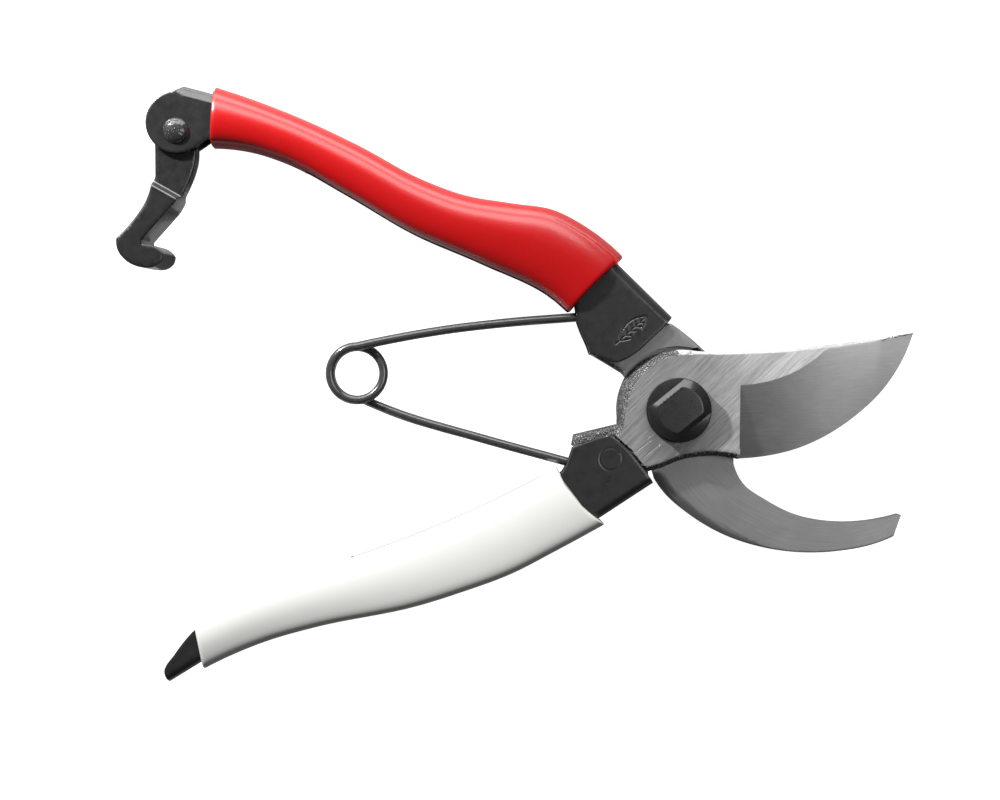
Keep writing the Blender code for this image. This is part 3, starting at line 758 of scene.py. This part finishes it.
def counter_blade():
    """The hook half under the blade, its tang stepped up into the red handle's channel."""
    inner = np.vstack([smooth(HOOK_INNER + [(52.3, -24.5)]), [(52.7, -24.7)]])
    outer = smooth(HOOK_OUTER + [(-5.2, -16.2)])
    hub = smooth([(-5.2, -16.2), (-6.6, -12.5), (-11.9, -7.6), (-14.1, 0.0), (-13.2, 5.2),
                  (-12.1, 7.75)])
    neck = [(-13.25, 8.8), (-20.7, 13.3), (-17.8, 17.8), (-17.5, 24.0), (-24.0, 28.6),
            (-36.0, 34.6), (-35.5, 41.0), (-26.0, 39.6), (-15.2, 32.4), (-3.1, 20.3)]
    shoulder = smooth([(-1.5, 20.2), (3.1, 16.7), (6.4, 13.7), (10.6, 10.4), (13.6, 4.6),
                       (14.2, -2.0), (13.3, -9.0)])
    loop = np.vstack([inner, outer, hub[1:], neck, shoulder])

    def tang(p):
        return (radii(p) > TANG_SHOULDER) & (p[:, 1] > 7.0)

    def top(p):
        lumps = rough(p, 0.9) + 0.6 * rough(p, 0.4, 3.0)
        width = 1.4 * (1 - ease(p[:, 0], -2.0, 26.0)) + 0.15
        chamfer = np.clip(width - away(p, outer), 0, None) * 0.45
        z = -HALF_GAP - chamfer
        rise = TANG_HALF - rounding(away(p, np.vstack([neck[-1:], shoulder])), 0.5)
        rise = rise - 0.5 * rounding(away(p, neck) + 0.1 * lumps, 0.8)
        return np.where(tang(p), rise, z)

    def bottom(p):
        z = -FORGING + rounding(away(p, outer), 0.8)
        return np.where(tang(p), -TANG_HALF, z)

    def zone(p):
        return (tang(p) & (away(p, neck) < 0.7)).astype(int)

    piece = relief("counter_blade_forging", loop, top, bottom, [HOOK, FORGED],
                   holes=[circle((0, 0), PIVOT_BORE)],
                   creases=[arc((0, 0), radius, 76, 147, 40) for radius in (14.8, 14.9)],
                   gap=0.9, zone=zone)
    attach(piece, "hook_half")
    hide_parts("counter_blade")


# ---- handles

def leaf_lines(centre, turn):
    """A plain leaf with a stem and veins, as lines to be stamped."""
    half = 4.2
    spin = np.array([(cos(radians(turn)), sin(radians(turn))),
                     (-sin(radians(turn)), cos(radians(turn)))])
    side = [(x, 1.75 * cos(pi * x / half / 2)**0.8) for x in np.linspace(-half, half, 23)]
    lines = [np.array(side), np.array(side) * [1, -1], np.array([(-half - 1.3, 0), (half, 0)])]
    lines += [np.array([(x, 0), (x + 0.9, k)]) for x in (-2.4, -0.9, 0.6, 2.0)
              for k in (-1, 1)]
    return [line @ spin + centre for line in lines]


def folded_channel(name, edge, web, slot_line, slot_beyond, holes, marks, fine,
                   fold=lambda p: FOLD_RADIUS, highlight_zone=None):
    """A pressed channel: two flanges and a round fold along the web line; highlight_zone picks
    where lighter steel is painted as a highlight.
    """
    closed = ringed(edge)

    def height(p):
        drop = np.maximum(rounding(away(p, web), fold(p)), rounding(away(p, closed), 0.22))
        return CHANNEL_HALF - drop + marks(p)

    outer_shell = relief(name, edge, height, lambda p: -height(p), [BLACK, FOLD_HIGHLIGHT],
                         gap=1.2, rings=(0.08, 0.2, 0.45, 0.9, 1.5, 2.1), fine=fine,
                         fine_gap=0.14, zone=highlight_zone)
    line = shifted(slot_line, SHEET)

    def room(p):
        return CHANNEL_HALF - SHEET - rounding(away(p, line), 0.9)

    cut(outer_shell, relief(name + "_slot", np.vstack([line, slot_beyond]), room,
                            lambda p: -room(p), [BLACK], gap=3.0, rings=(0.1, 0.3, 0.6, 0.9)))
    through = 8
    for centre, radius in holes:
        cut(outer_shell, turned("hole", [(0, through), (radius, through), (radius, -through),
                                         (0, -through)], [BLACK], centre, 40))
    return outer_shell


def red_handle():
    """The red side's channel, with a leaf stamped on its neck and ears round the latch's pin."""
    outer = shifted(smooth(RED_OUTER), SLEEVE_FIT)[2:-2]
    inner = shifted(smooth(RED_INNER[::-1]), SLEEVE_FIT)[3:-4]
    top = np.vstack([[(-1.4, 21.7), (-13.7, 33.8)], outer, [(-115.4, 75.6)]])
    edge = np.vstack([top, arc((-117.0, 67.1), 7.2, 97, 301, 40), [(-109.8, 63.3)], inner,
                      [(-24.0, 24.4)],
                      outline([(-23.6, 20.7), (-22.7, 18.2), (-21.4, 15.3)], [(-20.6, 13.1)],
                              [(-14.6, 11.0), (-11.8, 12.1), (-8.9, 14.1), (-6.0, 16.8),
                               (-3.0, 19.7)], [(-1.4, 21.7)])[:-1]])
    slot_line = np.vstack([[(6.0, 14.4)], top])
    beyond = [(-115.4, 82), (-132, 82), (-132, 52), (-104, 52), (-24, 8), (0, 0)]
    leaf = leaf_lines((-10.6, 19.0), 42)

    def at_ears(p):
        return ease(-p[:, 0], 106.5, 108.5)

    def at_fold(p, width):
        return (away(p, top) < width) & (p[:, 0] < -108.0)

    def marks(p):
        near = np.min([away(p, line) for line in leaf], axis=0)
        facet = 0.47 * np.clip(2.3 - away(p, top), 0, None) * at_ears(p)
        return -0.13 * (1 - ease(near, 0.08, 0.3)) - facet

    piece = folded_channel("red_channel", edge, spaced(top, 0.5), slot_line, beyond,
                           [(centre, PIN_HOLE) for centre in [LATCH_AXIS] + RED_RIVETS], marks,
                           lambda p: (away(p, leaf[0]) < 2.6) | at_fold(p, 2.6),
                           fold=lambda p: FOLD_RADIUS - 1.6 * at_ears(p),
                           # Painted highlight: lighter steel over the ear's top fold, where the
                           # fold catches the light.
                           highlight_zone=lambda p: at_fold(p, 2.0).astype(int))
    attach(piece, "hook_half")
    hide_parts("red_handle")


def white_handle():
    """The white side's channel, with the stop's cut-out at the hub and a bare pointed tail."""
    outer = shifted(smooth(WHITE_OUTER[::-1]), SLEEVE_FIT)[:-2]
    inner = shifted(smooth(WHITE_INNER), SLEEVE_FIT)[2:-2]
    edge = np.vstack([
        outline([(-5.8, -17.0), (-7.4, -14.6), (-9.5, -11.9), (-11.6, -9.3), (-13.7, -7.4),
                 (-15.3, -6.2), (-16.5, -6.0), (-18.2, -6.4), (-21.1, -7.4)],
                [(-24.6, -8.8), (-25.9, -12.3)], [(-27.1, -14.5)]),
        inner,
        smooth([(-113.2, -51.6), (-117.2, -56.6), (-119.8, -61.2), (-118.7, -63.4)]),
        outer, [(-17.7, -24.8)]])
    line = np.vstack([[(-118.7, -63.4)], outer, [(-17.7, -24.8), (-5.8, -17.0)]])
    ways = headings(line)
    slot_line = np.vstack([[line[0] - 6 * ways[0]], line, [line[-1] + 6 * ways[-1]]])
    beyond = [(0, 0), (-24, 8), (-100, -30), (-130, -42)]

    def marks(p):
        return -0.05 * np.exp(-((radii(p, WHITE_NECK_RIVET) - 2.62) / 0.16)**2)

    round_rivet = ringed(circle(WHITE_NECK_RIVET, 2.75))
    piece = folded_channel("white_channel", edge, spaced(line, 0.5), slot_line, beyond,
                           [(WHITE_NECK_RIVET, 2.42), (WHITE_TANG_RIVET, PIN_HOLE)], marks,
                           lambda p: away(p, round_rivet) < 0.7)
    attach(piece, "blade_half")
    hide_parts("white_handle")


def grip(name, outer, inner, shape, notch, surface, body, node):
    """A dipped sleeve, lofted along the handle.

    The shape gives, from the hub to the end, where the crest lies across the width (0 at the
    inner edge), how far the crown falls to each edge, and how square each side is. Bow is how
    far the middle of each end is drawn in.
    """
    stations, sides = 84, 64
    a_line, b_line = resampled(smooth(outer), stations), resampled(smooth(inner), stations)
    u = np.linspace(0, 1, stations)
    crest = np.interp(u, *zip(*shape["crest"]))
    falls = [np.interp(u, *zip(*side)) for side in shape["fall"]]
    powers = [np.interp(u, *zip(*side)) for side in shape["square"]]
    middle = (a_line + b_line) / 2
    ways = headings(middle)
    lengths = travelled(middle)

    def section(k, shrink=0.0, half=GRIP_HALF, hollow=False):
        """Points round one section, squared off for the bore."""
        a, b = a_line[k], b_line[k]
        width = np.linalg.norm(a - b)
        points = []
        for i in range(sides):
            angle = 2 * pi * (i + 0.5) / sides
            c, s = cos(angle), sin(angle)
            side = 0 if c > 0 else 1
            power = 9.0 if hollow else powers[side][k]
            reach = abs(c)**(2 / power)
            at = crest[k] * (1 - reach) if side else crest[k] + (1 - crest[k]) * reach
            up = abs(s)**(2 / power)
            if not hollow:
                up *= 1 - falls[side][k] * reach
            at = (shrink + at * (width - 2 * shrink)) / width
            points.append((*(b + (a - b) * at), (half - shrink) * up * (1 if s > 0 else -1)))
        return np.array(points)

    def bowed(points, k):
        """Draw the ends in at the middle of their width, fading along the handle."""
        a, b = a_line[k], b_line[k]
        at = np.clip(((points[:, :2] - b) @ (a - b)) / ((a - b) @ (a - b)), 0, 1)
        curve = 4 * at * (1 - at)
        near = np.exp(-(lengths[k] / 5.0)**2) * shape["bow"][0]
        far = np.exp(-((lengths[-1] - lengths[k]) / 5.0)**2) * shape["bow"][1]
        points[:, :2] += np.outer(curve * (near - far), ways[k])
        return points

    def rolled(k, way):
        """The rings of an end's rounded lip, from its face to the full section."""
        found = []
        for angle in np.radians([0, 20, 40, 60, 75]):
            ring = bowed(section(k, 1 - sin(angle)), k)
            ring[:, :2] += way * (1 - cos(angle)) * 0.6
            found.append(ring)
        return found

    rings = rolled(0, ways[0]) + [bowed(section(k), k) for k in range(1, stations - 1)]
    rings += rolled(stations - 1, -ways[-1])[::-1]
    bore_half = CHANNEL_HALF + 0.25 + SLEEVE_WALL
    rings += [bowed(section(k, SLEEVE_WALL, bore_half, True), k)
              for k in (*range(stations - 1, 0, -3), 0)]
    rings = [np.column_stack([r[:, :2], np.clip(r[:, 2], -GRIP_HALF, GRIP_HALF)]) for r in rings]
    piece = skin(name, rings, [surface], closed=True)
    cut(piece, relief(name + "_notch", notch, level(NOTCH_HALF), level(-NOTCH_HALF), [surface],
                      gap=3.0))
    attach(piece, body)
    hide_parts(node)


# ---- fasteners

def pivot_bolt():
    """A flanged, threaded bolt; its coned head has two flats and a creased face."""
    flange_top, top_height = FORGING + 1.1, 8.4
    head_radius, face_radius, flat = 7.25, 5.3, 4.95
    slope, chamfer_width = 0.47, 1.15
    head_turn = 39
    turn = Matrix.Rotation(radians(head_turn), 2)
    side = np.degrees(np.arcsin(flat / head_radius))
    head = np.array([turn @ Vector(p) for start in (0, 180)
                     for p in arc((0, 0), head_radius, start - side, start + side, 24)])
    flats = [np.array([turn @ Vector((x, k * flat)) for x in (-face_radius, face_radius)])
             for k in (-1, 1)]
    corner = np.degrees(np.arcsin((flat - chamfer_width) / face_radius))
    face = ringed(np.vstack([arc((0, 0), face_radius, start - corner, start + corner, 16)
                             for start in (head_turn, head_turn + 180)]))

    def top(p):
        cone = np.clip(radii(p) - face_radius, 0, None) * slope
        edge = np.min([away(p, line) for line in flats], axis=0)
        chamfer = np.clip(chamfer_width - edge, 0, None) * slope
        dome = 0.05 * (radii(p) / 5.5)**2
        return top_height - np.maximum(cone, chamfer) - dome

    piece = relief("pivot_bolt_head", head, top, level(flange_top - 0.3), [BOLT_BLACK],
                   creases=[face], gap=0.5, rings=(0.1, 0.3, 0.6))
    shank = [(0, flange_top - 0.05), (7.3, flange_top - 0.05), (7.6, flange_top - 0.2),
             (7.6, FORGING + 0.4), (7.4, FORGING + 0.3), (4.0, FORGING + 0.3), (4.0, -5.0)]
    pitch, bottom = 1.0, -PIVOT[2] / MM
    for i in range(int((bottom + 6.6) / -pitch)):
        shank += [(4.0, -5.6 - i * pitch), (3.55, -5.6 - i * pitch - pitch / 2)]
    shank += [(3.5, bottom + 0.45), (3.1, bottom), (0, bottom)]
    base = turned("pivot_bolt_shank", shank, [BOLT_BLACK], sides=72)
    for thing in (piece, base):
        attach(thing, "blade_half")
    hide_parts("pivot_bolt")


def washer_and_nut():
    """A washer and a chamfered hexagon nut under the hub."""
    top = -FORGING - 0.3
    washer = turned("pivot_washer", [(4.4, top), (6.8, top), (7.0, top - 0.2), (7.0, top - 1.0),
                                     (6.8, top - 1.2), (4.4, top - 1.2)], [BOLT_BLACK])
    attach(washer, "blade_half")
    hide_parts("spring_washer")
    high, low = top - 1.5, top - 6.1
    hexagon = circle((0, 0), 6.5 / cos(radians(30)), 6)

    def chamfer(p):
        return np.clip(radii(p) - 6.35, 0, None) * 0.6

    nut = relief("pivot_nut_hex", hexagon, lambda p: high - chamfer(p),
                 lambda p: low + chamfer(p), [BOLT_BLACK], holes=[circle((0, 0), 4.1)], gap=0.6,
                 rings=(0.1, 0.3, 0.6))
    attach(nut, "blade_half")
    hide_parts("pivot_nut")


def rivets():
    """The flush rivet in the white neck, and the domed pin through the latch's ears."""
    flush = CHANNEL_HALF - 0.02
    rim = [(2.3, flush), (2.39, CHANNEL_HALF - 0.08), (2.4, CHANNEL_HALF - 0.3)]
    neck = turned("white_neck_rivet_head", [(0, flush), (2.22, flush)] + rim
                  + [(r, -z) for r, z in rim[::-1]] + [(0, -flush)], [BLACK], WHITE_NECK_RIVET)
    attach(neck, "blade_half")
    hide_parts("white_neck_rivet")
    under = CHANNEL_HALF + 0.05
    profile = [(2.95 * sin(radians(a)), under + 1.45 * cos(radians(a))) for a in range(0, 86, 8)]
    profile += [(2.97, under + 0.1), (2.95, under), (2.0, under), (2.0, -under), (2.6, -under),
                (2.7, -under - 0.15), (2.5, -under - 0.75), (0, -under - 0.85)]
    pin = turned("latch_rivet_dome", profile, [FORGED_BLACK], (-117.1, 65.1), 56)
    for vertex in pin.data.vertices:
        x, y, z = vertex.co / MM
        if z > PIVOT[2] / MM + under + 0.2:
            pit = noise.noise(Vector((x * 1.6, y * 1.6, z * 1.6)))
            vertex.co.z += MM * 0.12 * min(pit, 0.1)
    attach(pin, "latch_pin")
    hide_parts("latch_rivet")


# ---- spring and latch

def spring():
    """The return spring as one wire: foot, lower leg, coil, upper leg."""
    top = COIL_PITCH * 0.75
    upper = smooth([(-75.2, 14.85), (-67.4, 16.5), (-53.3, 18.9), (-39.2, 20.5), (-24.0, 21.7),
                    (-21.4, 21.9)], 10)
    lower = smooth([(-73.6, 2.4), (-67.4, -0.2), (-46.3, -6.6), (-25.8, -12.2), (-23.6, -12.8)],
                   10)
    path = [(x, y, top) for x, y in upper[:0:-1]]
    for angle in range(90, 631, 6):
        path.append((COIL_CENTRE[0] + COIL_RADIUS * cos(radians(angle)),
                     DRAWN_COIL_Y + COIL_RADIUS * sin(radians(angle)),
                     top - COIL_PITCH * (angle - 90) / 360))
    path += [(x, y, -top) for x, y in lower]
    path = np.array(path)
    along = headings(path)
    side = np.cross(along, [0, 0, 1.0])
    side /= np.linalg.norm(side, axis=1)[:, None]
    up = np.cross(side, along)
    angles = [2 * pi * i / 20 for i in range(20)]
    rings = [[p + WIRE_RADIUS * (s * cos(a) + v * sin(a)) for a in angles]
             for p, s, v in zip(path, side, up)]
    caps = [[path[end] + along[end] * way * 0.25 + 0.7 * (q - path[end]) for q in rings[end]]
            for end, way in ((0, -1), (-1, 1))]
    rings = [caps[0]] + rings + [caps[1]]
    piece = skin("return_spring_wire", rings, [WIRE])
    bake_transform(piece)
    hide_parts("spring_lower", "spring_upper")


def latch():
    """The catch: a flat arm that steps up into a thicker hook whose sides lean outward."""
    edge = np.vstack([
        arc(LATCH_AXIS, 5.4, -48, 205, 40), [(-122.25, 60.5), (-122.2, 54.6)],
        outline([(-122.7, 53.2), (-124.0, 48.7), (-126.2, 45.2), (-128.4, 42.5)],
                [(-130.9, 40.0), (-130.6, 37.3), (-128.4, 34.6), (-125.0, 33.2),
                 (-121.4, 33.6), (-120.3, 34.6)], [(-119.9, 36.3), (-120.6, 37.2)],
                [(-125.0, 38.6)], [(-125.0, 39.6)], [(-116.1, 49.6)])[:-1],
        smooth([(-116.1, 49.6), (-114.0, 54.0), (-112.7, 58.6), (-112.6, 61.4)])])
    step = np.array([(-123.4, 53.9), (-116.3, 49.9)])
    way = (step[1] - step[0]) / np.linalg.norm(step[1] - step[0])
    arm_half, hook_rise, crest = 2.7, 2.3, 1.05

    def below(p):
        x, y = (p - step[0]).T
        return x * way[1] - y * way[0]

    def rise(p):
        return hook_rise * ease(below(p), -0.1, 1.0)

    def top(p):
        ridge = 0.2 * np.exp(-((below(p) - crest) / 0.2)**2)
        return arm_half + (rise(p) + ridge) - rounding(away(p, ringed(edge)), 0.35)

    def bottom(p):
        return -arm_half - rise(p) + rounding(away(p, ringed(edge)), 0.25)

    # Painted highlight: lighter steel along the step's foot and crest, where the folds would catch
    # the light.
    def zone(p):
        highlighted = (abs(below(p) + 0.07) < 0.12) | (abs(below(p) - crest) < 0.2)
        return highlighted.astype(int)

    ends = np.array([step[0] + way * 0.45, step[1] - way * 0.35])
    lines = [ends + np.array([way[1], -way[0]]) * d for d in (-0.2, 0.05, 0.45, 0.85, 1.05, 1.25)]
    piece = relief("latch_hook", edge, top, bottom, [BLACK, STEP_HIGHLIGHT],
                   holes=[circle(LATCH_AXIS, PIN_HOLE)], creases=lines, gap=0.8, rings=(0.1, 0.3),
                   zone=zone)
    draft = 1.3
    for vertex in piece.data.vertices:
        if vertex.co.z < PIVOT[2]:
            vertex.co.x += MM * draft * float(ease(-vertex.co.y / MM, -51.0, -46.0))
    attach(piece, "latch")
    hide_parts("latch")


# ---- assembly

cutting_blade()
counter_blade()
red_handle()
white_handle()
RED_SHAPE = {"crest": [(0, 0.48), (1, 0.48)], "bow": (0.4, 0.0),
             "square": ([(0, 2.3), (1, 2.3)], [(0, 3.8), (1, 3.4)]),
             "fall": ([(0, 0.12), (1, 0.12)], [(0, 0.05), (1, 0.10)])}
WHITE_SHAPE = {"crest": [(0, 0.31), (0.5, 0.32), (1, 0.30)], "bow": (1.6, 0.2),
               "square": ([(0, 8.0), (1, 7.0)], [(0, 3.6), (1, 3.6)]),
               "fall": ([(0, 0.0), (0.3, 0.0), (0.6, 0.10), (1, 0.22)],
                        [(0, 0.28), (1, 0.28)])}
grip("red_grip_sleeve", RED_OUTER, RED_INNER, RED_SHAPE, RED_NOTCH, RED, "hook_half",
     "red_grip")
grip("white_grip_sleeve", WHITE_OUTER, WHITE_INNER, WHITE_SHAPE, WHITE_NOTCH, WHITE,
     "blade_half", "white_grip")
pivot_bolt()
washer_and_nut()
rivets()
spring()
latch()
for name in ("white_tang_rivet", "red_neck_rivet", "red_tang_rivet"):
    frame["nodes"][name].data.materials[0] = BLACK


# ---- floor, light and camera

def floor():
    """A pale floor that glows evenly; its light reaches nothing else."""
    s = Surface("pale_floor", Roughness=0.9, Emission_Color=(1, 1, 1, 1), Emission_Strength=1.0)
    tone = s.greys(s.mottle(0.01, 2.0, 0.5), 0.30, 0.32)
    s.tree.links.new(tone, s.shader.inputs["Base Color"])
    corners = [(-3, -3, 0), (3, -3, 0), (3, 3, 0), (-3, 3, 0)]
    thing = new_object("studio_floor", corners, [(0, 1, 2, 3)], [s.material])
    glow = bpy.data.collections.new("floor_glow")
    glow.objects.link(thing)
    thing.light_linking.receiver_collection = glow


def area(name, place, size, power):
    """A lamp that points at the middle of the tool."""
    light = bpy.data.lights.new(name, 'AREA')
    light.shape = 'RECTANGLE'
    light.size, light.size_y = size
    light.energy = power
    thing = bpy.data.objects.new(name, light)
    thing.location = place
    way = Vector((-0.04, 0, 0.01)) - Vector(place)
    thing.rotation_euler = way.to_track_quat('-Z', 'Y').to_euler()
    bpy.context.scene.collection.objects.link(thing)
    return thing


def studio():
    """A small key, two long strips, and a card that lights all but the sleeves."""
    sky = bpy.data.worlds.new("studio")
    bpy.context.scene.world = sky
    sky.use_nodes = True
    back = sky.node_tree.nodes["Background"]
    back.inputs["Strength"].default_value = 0.06
    back.inputs["Color"].default_value = (1, 1, 1, 1)
    area("key", (-0.38, 0.35, 0.25), (0.03, 0.03), 5.1)
    area("top_strip", (-0.1, 0.75, 0.60), (1.1, 0.30), 4.9)
    area("low_strip", (0.0, 0.95, 0.18), (1.4, 0.30), 6.0)
    card = area("right_card", (0.40, 0.06, 0.88), (0.42, 0.50), 1.5)
    steel = bpy.data.collections.new("steel")
    for thing in bpy.context.scene.objects:
        if thing.type == 'MESH' and "sleeve" not in thing.name:
            steel.objects.link(thing)
    card.light_linking.receiver_collection = steel
    bpy.context.scene.view_settings.view_transform = 'Standard'


def camera():
    """Straight above the tool, and near enough for its sides to show a little."""
    data = bpy.data.cameras.new("camera")
    distance, field = 455.0, 235.0
    data.lens = data.sensor_width * distance / field
    thing = bpy.data.objects.new("camera", data)
    thing.location = world([(-41.6, 2.35, distance)])[0]
    bpy.context.scene.collection.objects.link(thing)
    bpy.context.scene.camera = thing


floor()
studio()
camera()
